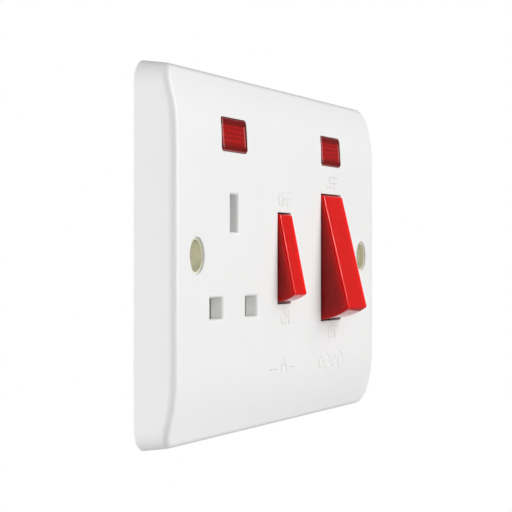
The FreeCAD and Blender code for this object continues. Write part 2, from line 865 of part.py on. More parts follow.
def make_plunger(switch, pole, x):
    body = carried_body(switch, f"{switch.name}_{pole}plunger", x)
    radius = switch.plunger_radius
    revolve(body, "YZ", [
        (size.plunger_seat, ZERO), (size.plunger_seat, radius), (switch.reach, radius), (switch.reach, ZERO),
    ])
    tip = value(switch.reach)
    round_edges(body, radius - size.press_gap, lambda edge, ends: all(near(p.y, tip) for p in ends))
    return body


def make_plunger_spring(switch, pole, x):
    """Pushes the plunger out of its tube; held between the rocker's front wall and the plunger."""
    body = carried_body(switch, f"{switch.name}_{pole}plunger_spring", x)
    start = size.rocker_wall - switch.rise + size.press_gap
    length = size.plunger_seat - size.press_gap - start
    radius = switch.plunger_radius - size.spring_wire / 2
    coil(body, "H_Axis", start, length, radius, size.plunger_spring_pitch)
    return body


# See-saw contacts

def make_moving_contact(switch, pole, x):
    """A contact beam that rocks on a knuckle, its upper end off the fixed contact."""
    body = new_body(f"{switch.name}_{pole}moving_contact", switch.x + x, switch.beam_y, switch.z)
    half = switch.beam_half
    back = -size.knuckle_rise
    front = back - size.beam_thickness
    extrude(body, "YZ", -half, half,
            lambda sketch: rectangle(sketch, front, back, -switch.beam_reach, switch.beam_reach))
    extrude(body, "YZ", -half, half, lambda sketch: circle(sketch, ZERO, ZERO, size.knuckle_radius))
    add_circles(body, back, back + size.tip_height, [(ZERO, switch.tip_offset, size.tip_radius)])
    turn_body(body, 1, size.beam_tilt)
    return body


def add_cradle(body, switch, x):
    """The raised seat on a strap that a see-saw's knuckle rocks in."""
    half = switch.beam_half
    seat = switch.beam_y + size.knuckle_radius + size.cradle_gap
    inner = size.knuckle_radius + size.cradle_gap
    outer = inner + size.cradle_lip
    left, right = x - half, x + half
    add_box(body, seat, switch.strap_y, (left, right, switch.z - outer, switch.z + outer))
    add_box(body, seat - size.cradle_lip_height, seat, (left, right, switch.z + inner, switch.z + outer))
    add_box(body, seat - size.cradle_lip_height, seat, (left, right, switch.z - outer, switch.z - inner))


def strap_top(switch):
    return switch.z + size.knuckle_radius + size.cradle_gap + size.cradle_lip


def make_supply_strap(pole, x):
    """Carries the see-saw's cradle and runs down to lie on the supply terminal."""
    body = new_body(f"supply_{pole}strap")
    middle = COOKER.x + x
    half = COOKER.beam_half
    low = -BLOCK_INNER_Z - size.block_lap
    add_box(body, COOKER.strap_y, BLOCK_FRONT, (middle - half, middle + half, low, strap_top(COOKER)))
    add_cradle(body, COOKER, middle)
    return body


def make_load_strap(pole, x):
    """Carries the fixed contact and runs up to lie on the load terminal."""
    body = new_body(f"load_{pole}strap")
    middle = COOKER.x + x
    half = COOKER.beam_half
    tip_z = COOKER.z + COOKER.tip_offset
    low = tip_z - size.tip_radius - size.tip_inset
    high = BLOCK_INNER_Z + size.block_lap
    add_box(body, COOKER.strap_y, BLOCK_FRONT, (middle - half, middle + half, low, high))
    add_circles(body, COOKER.strap_y - size.tip_height, COOKER.strap_y, [(middle, tip_z, size.tip_radius)])
    return body


# Socket contacts and their arms

CLIP_FRONT = DECK + size.clip_setback
LIVE_WEB = FRONT + size.live_pin_length + size.pin_tip_gap
LIVE_CLIP_BACK = LIVE_WEB + size.clip_leaf
EARTH_CLIP_FRONT = INNER + size.shutter_gap + size.shutter_travel + size.shutter_back + size.drop_gap * 2
EARTH_WEB = FRONT + size.earth_pin_length + size.pin_tip_gap
EARTH_CLIP_BACK = EARTH_WEB + size.clip_leaf
CLIP_INNER = size.clip_gap / 2
CLIP_OUTER = CLIP_INNER + size.clip_leaf
LIVE_TOP = size.pin_row_z + CLIP_OUTER
LIVE_BOTTOM = size.pin_row_z - CLIP_OUTER
LIVE_HALF = size.live_clip_width / 2
ARM_HALF = size.arm_width / 2
TIP_Z = SOCKET.z + SOCKET.tip_offset
LINE_COLUMN = (LINE_X + LIVE_HALF - size.arm_width, LINE_X + LIVE_HALF)
LINE_ARM_END = SOCKET.x + SOCKET.beam_half
NEUTRAL_COLUMN = (NEUTRAL_X - ARM_HALF, NEUTRAL_X + ARM_HALF)
NEUTRAL_RUN = (size.neutral_run_z - ARM_HALF, size.neutral_run_z + ARM_HALF)
FEED_RUN = (size.feed_run_z - ARM_HALF, size.feed_run_z + ARM_HALF)
FEED_COLUMN = (SOCKET.x - SOCKET.beam_half, SOCKET.x + SOCKET.beam_half)
EARTH_ARM = (size.earth_arm_z - ARM_HALF, size.earth_arm_z + ARM_HALF)
EARTH_COLUMN = (size.earth_column_x - ARM_HALF, size.earth_column_x + ARM_HALF)
EARTH_RUN = (size.earth_run_z - ARM_HALF, size.earth_run_z + ARM_HALF)
TAB_END = BLOCK_FRONT + size.tab_reach


def clip_outline(front, web, back, middle):
    """A U that opens to the front, as (depth, across) points."""
    return [
        (front, middle - CLIP_OUTER), (back, middle - CLIP_OUTER), (back, middle + CLIP_OUTER),
        (front, middle + CLIP_OUTER), (front, middle + CLIP_INNER), (web, middle + CLIP_INNER),
        (web, middle - CLIP_INNER), (front, middle - CLIP_INNER),
    ]


def live_clip(label, x):
    body = new_body(label)
    outline = clip_outline(CLIP_FRONT, LIVE_WEB, LIVE_CLIP_BACK, size.pin_row_z)
    extrude(body, "YZ", x - LIVE_HALF, x + LIVE_HALF, lambda sketch: polygon(sketch, outline))
    return body


def add_plate(body, start, stop, corners):
    extrude(body, "XZ", start, stop, lambda sketch: polygon(sketch, corners))


def make_line_contact():
    """The line pin's clip, with an arm up to the socket switch's fixed contact."""
    body = live_clip("line_contact", LINE_X)
    low, high = TIP_Z - ARM_HALF, TIP_Z + ARM_HALF
    left, right = LINE_COLUMN
    add_plate(body, ARM_Y, ARM_BACK, [
        (left, LIVE_TOP), (right, LIVE_TOP), (right, low),
        (LINE_ARM_END, low), (LINE_ARM_END, high), (left, high),
    ])
    add_circles(body, ARM_Y - size.tip_height, ARM_Y, [(SOCKET.x, TIP_Z, size.tip_radius)])
    return body


def make_neutral_contact():
    """The neutral pin's clip, with an arm along the bottom to the supply terminal."""
    body = live_clip("neutral_contact", NEUTRAL_X)
    back = NEUTRAL_ARM_Y + size.arm_thickness
    left, right = NEUTRAL_COLUMN
    low, high = NEUTRAL_RUN
    end = NEUTRAL_BLOCK_LEFT
    add_plate(body, NEUTRAL_ARM_Y, back, [
        (left, LIVE_BOTTOM), (left, low), (end, low), (end, high), (right, high), (right, LIVE_BOTTOM),
    ])
    add_box(body, back, TAB_END, (end - size.arm_thickness, end, low, high))
    return body


def make_line_feed():
    """Takes the line from its supply terminal to the socket switch's see-saw."""
    body = new_body("line_feed")
    left, right = FEED_COLUMN
    low, high = FEED_RUN
    top = strap_top(SOCKET)
    end = LINE_BLOCK_LEFT
    add_plate(body, ARM_Y, ARM_BACK, [
        (left, low), (end, low), (end, high), (right, high), (right, top), (left, top),
    ])
    add_box(body, ARM_BACK, TAB_END, (end - size.arm_thickness, end, low, high))
    add_cradle(body, SOCKET, SOCKET.x)
    return body


def make_earth_contact():
    """The earth pin's clip, with an arm up and across to the earth terminal."""
    body = new_body("earth_contact")
    half = size.earth_clip_height / 2
    outline = clip_outline(EARTH_CLIP_FRONT, EARTH_WEB, EARTH_CLIP_BACK, size.socket_x)
    extrude(body, "XY", EARTH_Z - half, EARTH_Z + half,
            lambda sketch: polygon(sketch, [(across, depth) for depth, across in outline]))
    start = size.socket_x + CLIP_OUTER
    low, high = EARTH_ARM
    left, right = EARTH_COLUMN
    run_low, run_high = EARTH_RUN
    end = EARTH_BLOCK_LEFT
    add_plate(body, ARM_Y, ARM_BACK, [
        (start, low), (right, low), (right, run_low), (end, run_low),
        (end, run_high), (left, run_high), (left, high), (start, high),
    ])
    add_box(body, ARM_BACK, TAB_END, (end - size.arm_thickness, end, run_low, run_high))
    return body


# Terminals

def terminal_block(label, x, half_width, bores, side):
    """A brass block with cable bores along Z and a clamping screw's hole behind each."""
    body = new_body(label)
    low, high = (BLOCK_INNER_Z, size.block_end_z) if side > 0 else (-size.block_end_z, -BLOCK_INNER_Z)
    add_box(body, BLOCK_FRONT, BLOCK_REAR, (x - half_width, x + half_width, low, high))

    def bore(sketch):
        for offset in bores:
            circle(sketch, x + offset, BORE_Y, size.bore_radius)

    extrude(body, "XY", low, high, bore, remove=True)
    radius = size.terminal_screw_radius + size.press_gap
    cut_circles(body, BORE_Y, BLOCK_REAR, [(x + offset, (low + high) / 2, radius) for offset in bores])
    return body


def make_terminals():
    half = size.block_width / 2
    earth_bores = [size.earth_bore_pitch / -2, size.earth_bore_pitch / 2]
    return [
        terminal_block("supply_line_terminal", LINE_BLOCK_X, half, [ZERO], -1),
        terminal_block("supply_neutral_terminal", NEUTRAL_BLOCK_X, half, [ZERO], -1),
        terminal_block("load_line_terminal", LINE_BLOCK_X, half, [ZERO], 1),
        terminal_block("load_neutral_terminal", NEUTRAL_BLOCK_X, half, [ZERO], 1),
        terminal_block("earth_terminal", size.earth_block_x, EARTH_BLOCK_HALF, earth_bores, 1),
    ]


def slotted_screw(label, x, z, tip, seat, radius, head_radius, head_height):
    """A screw along Y whose head faces the back."""
    body = new_body(label, x, ZERO, z)
    end = seat + head_height
    revolve(body, "YZ", [
        (tip, ZERO), (tip, radius), (seat, radius), (seat, head_radius), (end, head_radius), (end, ZERO),
    ])
    half = size.slot_width / 2
    cut_boxes(body, end - head_height / 2, end, [(-head_radius * 2, head_radius * 2, -half, half)])
    return body


def make_terminal_screws():
    """Clamping screws, backed off so that the bores are clear."""
    middle = (BLOCK_INNER_Z + size.block_end_z) / 2
    half_pitch = size.earth_bore_pitch / 2
    places = [
        (LINE_BLOCK_X, -middle), (NEUTRAL_BLOCK_X, -middle),
        (LINE_BLOCK_X, middle), (NEUTRAL_BLOCK_X, middle),
        (size.earth_block_x - half_pitch, middle), (size.earth_block_x + half_pitch, middle),
    ]
    tip = BORE_Y + size.bore_radius + size.drop_gap
    screws = []
    for number, (x, z) in enumerate(places, start=1):
        screws.append(slotted_screw(
            f"terminal_screw_{number}", x, z, tip, BLOCK_REAR + size.run_gap,
            size.terminal_screw_radius, size.terminal_head_radius, size.terminal_head_height,
        ))
    return group("terminal_screws", screws)


def make_assembly_screws():
    """Self-tapping screws that pull the base against the plate."""
    seat = INNER + size.screw_head_seat
    tip = INNER + size.drop_gap
    screws = []
    for number, (x, z) in enumerate(SCREW_PLACES, start=1):
        screws.append(slotted_screw(
            f"assembly_screw_{number}", x, z, tip, seat,
            size.screw_radius, size.screw_head_radius, size.screw_head_height,
        ))
    return group("assembly_screws", screws)


# Base moulding

def grown(box, room):
    left, right, bottom, top = box
    return (left - room, right + room, bottom - room, top + room)


def cut_socket_wells(body):
    """Room for the shutter, its spring, the three clips and their arms."""
    room = size.arm_room
    half_width = (size.pin_pitch + size.live_slot_width) / 2 + size.shutter_lap + size.shutter_gap
    recess_top = EARTH_Z + size.earth_slot_height / 2 + size.drop_gap
    cut_boxes(body, INNER, DECK, [
        (size.socket_x - half_width, size.socket_x + half_width, SPRING_SEAT_Z, recess_top),
    ])
    pockets = []
    for x in (LINE_X, NEUTRAL_X):
        pockets.append(grown((x - LIVE_HALF, x + LIVE_HALF, LIVE_BOTTOM, LIVE_TOP), room))
    cut_boxes(body, DECK, LIVE_CLIP_BACK, pockets)
    half = size.earth_clip_height / 2
    clip = (size.socket_x - CLIP_OUTER, size.socket_x + CLIP_OUTER, EARTH_Z - half, EARTH_Z + half)
    cut_boxes(body, DECK, EARTH_CLIP_BACK, [grown(clip, room)])
    stem = size.shutter_stem_width / 2 + size.drop_gap
    low = EARTH_Z - size.earth_slot_height / 2 - size.shutter_travel - size.drop_gap
    ramp_back = INNER + size.shutter_gap + size.shutter_travel + size.shutter_back + size.drop_gap
    cut_boxes(body, DECK, ramp_back, [(size.socket_x - stem, size.socket_x + stem, low, EARTH_Z)])


def cut_arm_channels(body):
    """Channels from the front for the arms, each as wide as its arm and its room."""
    room = size.arm_room
    tab_end = TAB_END + room
    left, right = LINE_COLUMN
    low, high = TIP_Z - ARM_HALF, TIP_Z + ARM_HALF
    cut_boxes(body, INNER, ARM_BACK, [grown((left, right, LIVE_TOP, high), room)])
    cut_boxes(body, INNER, ARM_BACK, [grown((left, LINE_ARM_END, low, high), room)])
    left, right = EARTH_COLUMN
    cut_boxes(body, INNER, ARM_BACK, [grown((size.socket_x, right, *EARTH_ARM), room)])
    cut_boxes(body, INNER, ARM_BACK, [grown((left, right, EARTH_ARM[0], EARTH_RUN[1]), room)])
    cut_boxes(body, INNER, ARM_BACK, [grown((left, EARTH_BLOCK_LEFT, *EARTH_RUN), room)])
    cut_boxes(body, INNER, ARM_BACK, [grown((*FEED_COLUMN, FEED_RUN[0], strap_top(SOCKET)), room)])
    cut_boxes(body, INNER, ARM_BACK, [grown((FEED_COLUMN[0], LINE_BLOCK_LEFT, *FEED_RUN), room)])
    back = NEUTRAL_ARM_Y + size.arm_thickness
    cut_boxes(body, INNER, back, [grown((*NEUTRAL_COLUMN, NEUTRAL_RUN[0], LIVE_BOTTOM), room)])
    cut_boxes(body, INNER, back, [grown((NEUTRAL_COLUMN[0], NEUTRAL_BLOCK_LEFT, *NEUTRAL_RUN), room)])
    cut_boxes(body, INNER, tab_end, [
        grown((end - size.arm_thickness, end, *run), room)
        for end, run in (
            (EARTH_BLOCK_LEFT, EARTH_RUN), (LINE_BLOCK_LEFT, FEED_RUN), (NEUTRAL_BLOCK_LEFT, NEUTRAL_RUN),
        )
    ])


def cut_switch_wells(body):
    """A common well for each rocker, and under it a well for each pole's see-saw."""
    for switch, floor in ((SOCKET, ARM_BACK), (COOKER, BLOCK_FRONT)):
        half_width = switch.half_width + size.well_gap
        half_height = switch.radius + size.well_gap
        cut_boxes(body, INNER, switch.well_floor, [
            (switch.x - half_width, switch.x + half_width, switch.z - half_height, switch.z + half_height),
        ])
        beam = switch.beam_half + size.well_gap
        beam_end = switch.beam_reach + size.well_gap
        cut_boxes(body, INNER, floor, [
            (switch.x + x - beam, switch.x + x + beam, switch.z - beam_end, switch.z + beam_end)
            for x in switch.poles.values()
        ])
    room = size.arm_room
    half = COOKER.beam_half
    reach = BLOCK_INNER_Z + size.block_lap
    for x in COOKER.poles.values():
        middle = COOKER.x + x
        cut_boxes(body, INNER, BLOCK_FRONT, [grown((middle - half, middle + half, -reach, reach), room)])


def cut_neon_wells(body):
    flange = size.lens_flange - size.lens_gap + size.drop_gap
    recess = INNER + size.lens_flange_thickness + size.run_gap
    half_width = size.neon_width / 2
    half_height = size.neon_height / 2
    lamp_half = size.lamp_length / 2 + size.drop_gap
    lamp_top = size.neon_z + size.lamp_radius + size.drop_gap
    resistor_low = size.neon_z - size.resistor_drop - size.resistor_radius - size.drop_gap
    recesses = []
    wells = []
    for x in NEONS.values():
        box = (x - half_width, x + half_width, size.neon_z - half_height, size.neon_z + half_height)
        recesses.append(grown(box, flange))
        wells.append((x - lamp_half, x + lamp_half, resistor_low, lamp_top))
    cut_boxes(body, INNER, recess, recesses)
    cut_boxes(body, INNER, LAMP_FLOOR, wells)


def cut_terminal_bays(body):
    """Bays open to the back and to the cable's side."""
    room = size.drop_gap
    half = size.block_width / 2
    outside = size.base_half_height + size.block_width
    inner = BLOCK_INNER_Z - room
    mains = [(LINE_BLOCK_X, half + room), (NEUTRAL_BLOCK_X, half + room)]
    earth = (size.earth_block_x, EARTH_BLOCK_HALF + room)
    cut_boxes(body, BLOCK_FRONT, BASE_REAR, [(x - w, x + w, inner, outside) for x, w in mains + [earth]])
    cut_boxes(body, BLOCK_FRONT, BASE_REAR, [(x - w, x + w, -outside, -inner) for x, w in mains])


def cut_screw_ways(body):
    boss = size.screw_boss_radius + size.drop_gap
    shank = size.screw_radius + size.drop_gap
    head = size.screw_head_radius + size.drop_gap
    boss_end = INNER + size.screw_boss_length + size.drop_gap
    seat = INNER + size.screw_head_seat
    cut_circles(body, INNER, boss_end, [(x, z, boss) for x, z in SCREW_PLACES])
    cut_circles(body, INNER, seat, [(x, z, shank) for x, z in SCREW_PLACES])
    cut_circles(body, seat, BASE_REAR, [(x, z, head) for x, z in SCREW_PLACES])


def taper_end(body):
    """Slope the back behind the socket, where the pieces inside are shallow."""
    left, high = size.base_left, size.base_half_height
    end_y, end_x = INNER + size.base_end_depth, left + size.base_taper
    outside, beyond = left - size.base_wall, BASE_REAR + size.base_wall
    corners = [(left, end_y), (end_x, BASE_REAR), (end_x, beyond), (outside, beyond), (outside, end_y)]
    extrude(body, "XY", -high, high, lambda sketch: polygon(sketch, corners), remove=True)


def core_back(body):
    """Core the solid parts out from behind, leaving walls around bays, clips and screws."""
    wall = size.base_wall
    screw = size.screw_head_radius + size.drop_gap + wall
    earth_wall = size.socket_x + CLIP_OUTER + size.arm_room + wall
    outer_z = size.base_half_height - wall
    bay_z = BLOCK_INNER_Z - size.drop_gap - wall
    clip_low, clip_high = LIVE_BOTTOM - size.arm_room - wall, LIVE_TOP + size.arm_room + wall
    socket_core = (earth_wall, size.low_screw_x - screw)
    middle_core = (size.low_screw_x + screw, size.middle_screw_x - screw)
    cooker_core = (size.middle_screw_x + screw, size.right_screw_x - screw)
    rib = wall / 2
    middle = size.low_screw_z / 2
    cut_boxes(body, BLOCK_FRONT + wall, BASE_REAR, [
        (*socket_core, -outer_z, clip_low),
        (*socket_core, clip_high, size.inner_screw_z - screw),
        (*middle_core, -outer_z, middle - rib),
        (*middle_core, middle + rib, bay_z),
        (*cooker_core, -bay_z, -rib),
        (*cooker_core, rib, bay_z),
    ])


def make_base_moulding():
    body = new_body("base_moulding")
    high = size.base_half_height
    extrude(body, "XZ", INNER, BASE_REAR, lambda sketch: rounded(
        sketch, size.base_left, size.base_right, -high, high, size.base_corner_radius))
    rear = value(BASE_REAR)
    round_edges(body, size.base_edge_round, lambda edge, ends: all(near(p.y, rear) for p in ends))
    taper_end(body)
    core_back(body)
    cut_socket_wells(body)
    cut_arm_channels(body)
    cut_switch_wells(body)
    cut_neon_wells(body)
    cut_terminal_bays(body)
    cut_screw_ways(body)
    return body


# The whole unit

def make_switch_pieces(switch):
    pieces = [make_rocker(switch)]
    for pole, x in switch.poles.items():
        pieces.append(make_plunger(switch, pole, x))
        pieces.append(make_plunger_spring(switch, pole, x))
        pieces.append(make_moving_contact(switch, pole, x))
    return pieces


def make_all():
    pieces = [make_front_plate(), make_base_moulding(), make_fixing_bushes()]
    for name, x in NEONS.items():
        pieces += [make_lens(name, x), make_lamp(name, x), make_resistor(name, x)]
    pieces += [make_shutter(), make_shutter_spring()]
    pieces += make_switch_pieces(SOCKET)
    pieces += make_switch_pieces(COOKER)
    for pole, x in COOKER.poles.items():
        pieces += [make_supply_strap(pole, x), make_load_strap(pole, x)]
    pieces += [make_line_contact(), make_neutral_contact(), make_earth_contact(), make_line_feed()]
    pieces += make_terminals()
    pieces += [make_terminal_screws(), make_assembly_screws()]
    return pieces


pieces = make_all()
for item in doc.Objects:
    if item.TypeId == "PartDesign::Body":
        item.Tip.Refine = True
doc.recompute()
for item in doc.Objects:
    if "Invalid" in item.State or "Error" in item.State:
        raise RuntimeError(f"{item.Label} failed: {item.getStatusString()}")
for piece in pieces:
    if piece.Shape.isNull() or not piece.Shape.isValid():
        raise RuntimeError(f"{piece.Label} has no valid shape")
os.makedirs("parts", exist_ok=True)
for piece in pieces:
    piece.Shape.exportStep(f"parts/{piece.Label}.step")
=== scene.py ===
import json
import math

import bmesh
import bpy
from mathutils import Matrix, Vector


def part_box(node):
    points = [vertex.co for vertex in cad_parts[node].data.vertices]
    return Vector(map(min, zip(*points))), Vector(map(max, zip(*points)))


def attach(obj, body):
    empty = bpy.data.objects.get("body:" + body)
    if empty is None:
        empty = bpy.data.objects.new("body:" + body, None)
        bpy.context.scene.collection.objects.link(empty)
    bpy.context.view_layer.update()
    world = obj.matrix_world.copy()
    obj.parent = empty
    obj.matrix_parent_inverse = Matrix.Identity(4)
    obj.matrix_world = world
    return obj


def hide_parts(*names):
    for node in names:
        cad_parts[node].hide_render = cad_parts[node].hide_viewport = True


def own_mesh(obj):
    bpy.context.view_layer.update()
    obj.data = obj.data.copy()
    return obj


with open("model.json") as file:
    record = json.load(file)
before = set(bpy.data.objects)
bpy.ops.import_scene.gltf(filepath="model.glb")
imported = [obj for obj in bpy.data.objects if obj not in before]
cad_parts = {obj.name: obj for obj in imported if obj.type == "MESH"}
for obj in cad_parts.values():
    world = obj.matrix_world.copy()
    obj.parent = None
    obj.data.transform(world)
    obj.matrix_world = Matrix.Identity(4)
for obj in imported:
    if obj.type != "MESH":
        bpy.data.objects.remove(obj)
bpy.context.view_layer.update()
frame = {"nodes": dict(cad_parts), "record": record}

MM = 0.001
PLATE = frame["nodes"]["front_plate"]
BUSHES = frame["nodes"]["fixing_bushes"]
FACE_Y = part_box("front_plate")[0].y

# Camera, fitted to the picture: its place, where it looks, its angle of view and its range
CAMERA_PLACE = Vector((-429.593, -166.234, -0.520)) * MM
CAMERA_TURN = math.radians(68.911)
CAMERA_TILT = math.radians(0.065)
CAMERA_LENS = 125.5
SENSOR_WIDTH = 36.0
CAMERA_NEAR, CAMERA_FAR = 0.01, 100.0

# Soft boxes: place, then width and height, in metres, and power in watts
LIGHTS = {
    "key_light": ((0.5, -1.1, 0.5), (1.6, 1.2), 20.0),
    "side_light": ((-0.95, 0.9, 0.15), (0.8, 0.8), 16.2),
    "back_light": ((0.4, 1.2, 0.5), (1.0, 1.0), 4.0),
    "rocker_light": ((0.7, -1.0, 0.6), (0.6, 0.6), 23.0),
    "plate_light": ((-0.8, -0.8, 0.3), (1.0, 1.0), 3.3),
}

# White surround: its strength as the camera sees it and as it fills the shadows
SEEN_STRENGTH = 1.0
FILL_STRENGTH = 0.09

# Floor, in metres
FLOOR_RADIUS = 0.9
FLOOR_LEVEL = -0.32
FLOOR_GRAIN = 0.2
FLOOR_STEPS = 48

# Stretch of a noise field that its ramp spreads out
FIELD_LOW, FIELD_HIGH = 0.2, 0.8
# Scale of the wave texture that gives one band a metre
WAVE_UNIT = 0.314
EDGE_SAMPLES = 8

# Finishes: a colour with its stain, as a factor of it, the range of its roughness, and fine bumps
METAL = dict(stain_grain=4 * MM, gloss_grain=1.5 * MM, bump_detail=4.0, Metallic=1.0)
FINISHES = {
    "plate_plastic": dict(
        colour=(0.85, 0.85, 0.845), stain=0.993, stain_grain=25 * MM,
        gloss=(0.285, 0.33), gloss_grain=9 * MM,
        bump_grain=1.6 * MM, bump_depth=0.004 * MM, edge=0.3 * MM,
        IOR=1.5, Specular_IOR_Level=0.3,
    ),
    "base_plastic": dict(
        colour=(0.74, 0.74, 0.72), stain=0.95, stain_grain=18 * MM,
        gloss=(0.5, 0.62), gloss_grain=6 * MM,
        bump_grain=0.35 * MM, bump_depth=0.03 * MM,
        Specular_IOR_Level=0.35,
    ),
    "rocker_plastic": dict(
        colour=(0.44, 0.005, 0.004), stain=0.95, stain_grain=7 * MM,
        gloss=(0.08, 0.12), gloss_grain=5 * MM,
        bump_grain=0.9 * MM, bump_depth=0.003 * MM,
        Specular_IOR_Level=0.2, Subsurface_Weight=0.75,
        Subsurface_Radius=(1.0, 0.08, 0.06), Subsurface_Scale=10 * MM,
    ),
    "shutter_plastic": dict(
        colour=(0.8, 0.78, 0.72), stain=0.95, stain_grain=8 * MM,
        gloss=(0.42, 0.55), gloss_grain=4 * MM,
        bump_grain=0.4 * MM, bump_depth=0.02 * MM,
        Specular_IOR_Level=0.35,
    ),
    "plunger_plastic": dict(
        colour=(0.78, 0.77, 0.73), stain=0.94, stain_grain=3 * MM,
        gloss=(0.35, 0.48), gloss_grain=2 * MM,
        bump_grain=0.3 * MM, bump_depth=0.01 * MM,
        Specular_IOR_Level=0.4,
    ),
    "ceramic": dict(
        colour=(0.5, 0.4, 0.25), stain=0.85, stain_grain=1.5 * MM,
        gloss=(0.3, 0.45), gloss_grain=1 * MM,
        bump_grain=0.5 * MM, bump_depth=0.02 * MM,
        Specular_IOR_Level=0.4,
    ),
    "lamp_glass": dict(
        colour=(0.95, 0.9, 0.85), stain=0.92, stain_grain=3 * MM,
        bump_grain=1.5 * MM, bump_depth=0.02 * MM,
        IOR=1.5, Transmission_Weight=0.85, Roughness=0.05,
    ),
    "bush_plating": dict(
        colour=(0.84, 0.82, 0.65), stain=0.85, stain_grain=2 * MM,
        gloss=(0.45, 0.6), gloss_grain=1.5 * MM,
        bump_grain=0.4 * MM, bump_depth=0.01 * MM,
        Metallic=0.3,
    ),
    "brass": dict(
        colour=(0.68, 0.56, 0.3), stain=0.8, gloss=(0.28, 0.42),
        bump_grain=0.3 * MM, bump_depth=0.006 * MM, **METAL,
    ),
    "contact_metal": dict(
        colour=(0.72, 0.5, 0.3), stain=0.85, gloss=(0.28, 0.42),
        bump_grain=0.5 * MM, bump_depth=0.004 * MM, **METAL,
    ),
    "screw_metal": dict(
        colour=(0.68, 0.66, 0.6), stain=0.85, gloss=(0.28, 0.42),
        bump_grain=0.2 * MM, bump_depth=0.005 * MM, **METAL,
    ),
    "spring_steel": dict(
        colour=(0.6, 0.6, 0.61), stain=0.8, gloss=(0.3, 0.44),
        bump_grain=0.2 * MM, bump_depth=0.003 * MM, **METAL,
    ),
}
# The markings are of the plate's plastic, with edges that look softer
FINISHES["marking_plastic"] = {**FINISHES["plate_plastic"], "edge": 0.8 * MM}
FLOOR_COLOUR, FLOOR_STAIN = (0.8, 0.8, 0.8), 0.98

# Indicators' lenses, with painted light: the lit band of their moulded rib pattern, a painted
# reflection along their top and bottom edges and a painted highlight near their right end
LENS_HALF_WIDTH = 8.05 * MM
LENS_HALF_HEIGHT = 4.05 * MM
LENS_RIM, LENS_RIM_FADE = 0.4 * MM, 0.16 * MM
# Painted shade covers the lens above and below this lit band of its rib pattern
LIT_BAND_DROP = 0.1 * MM
LIT_BAND_HALF_HEIGHT, LIT_BAND_FADE = 2.35 * MM, 0.47 * MM
RIBS_PITCH = 1.15 * MM
STRIPE_INSET = 2.0 * MM
STRIPE_HALF_WIDTH, STRIPE_FADE = 0.4 * MM, 0.2 * MM
GLINT_GRAIN = 0.6 * MM

# Their painted shade and light, the painted reflection along their edges and the painted highlight near
# their end, and how far the valleys of the rib pattern and the painted glints go from shade to light
LENS_PAINTED_SHADE = (0.15, 0.004, 0.003)
LENS_PAINTED_LIGHT = (0.5, 0.006, 0.006)
LENS_RIM_REFLECTION = (0.42, 0.05, 0.045)
LENS_STRIPE_HIGHLIGHT = (0.55, 0.11, 0.1)
RIB_VALLEY_SHARE = 0.6
GLINT_SHARE = 0.3
LENS_GLOSS, LENS_GLOSS_GRAIN = (0.06, 0.12), 2 * MM
LENS_BUMP_GRAIN, LENS_BUMP_DEPTH = 1.2 * MM, 0.008 * MM

# Rounded mouths of the pin ways, the only sharp outlines in this part of the face
SLOTS_LEFT, SLOTS_RIGHT = -53 * MM, -22 * MM
SLOTS_HALF_HEIGHT = 17 * MM
SLOT_ROUND = 0.75 * MM
SLOT_ROUND_STEPS = 5
SAME_PLACE = 0.001 * MM
FLAT_ANGLE = math.radians(0.5)
SHARP_ANGLE = math.radians(35)

# Raised markings on the face
BEAD_RADIUS = 0.25 * MM
BEAD_SINK = 0.1 * MM
BEAD_STEPS = 2
ARC_STEPS = 24
LETTER_HEIGHT = 3.3 * MM
LETTER_WIDTH = 2.4 * MM
LETTER_PITCH = 3.3 * MM
LOWER_BAR_SHARE = 0.7
OUTLET_RADIUS = 2.0 * MM
OUTLET_STEM = 1.6 * MM
OUTLET_DASH_START, OUTLET_DASH_END = 4.5 * MM, 9.5 * MM
RING_COUNT = 4
RING_PITCH = 5.4 * MM
RING_RADII = (1.5 * MM, 2.0 * MM)


# Materials

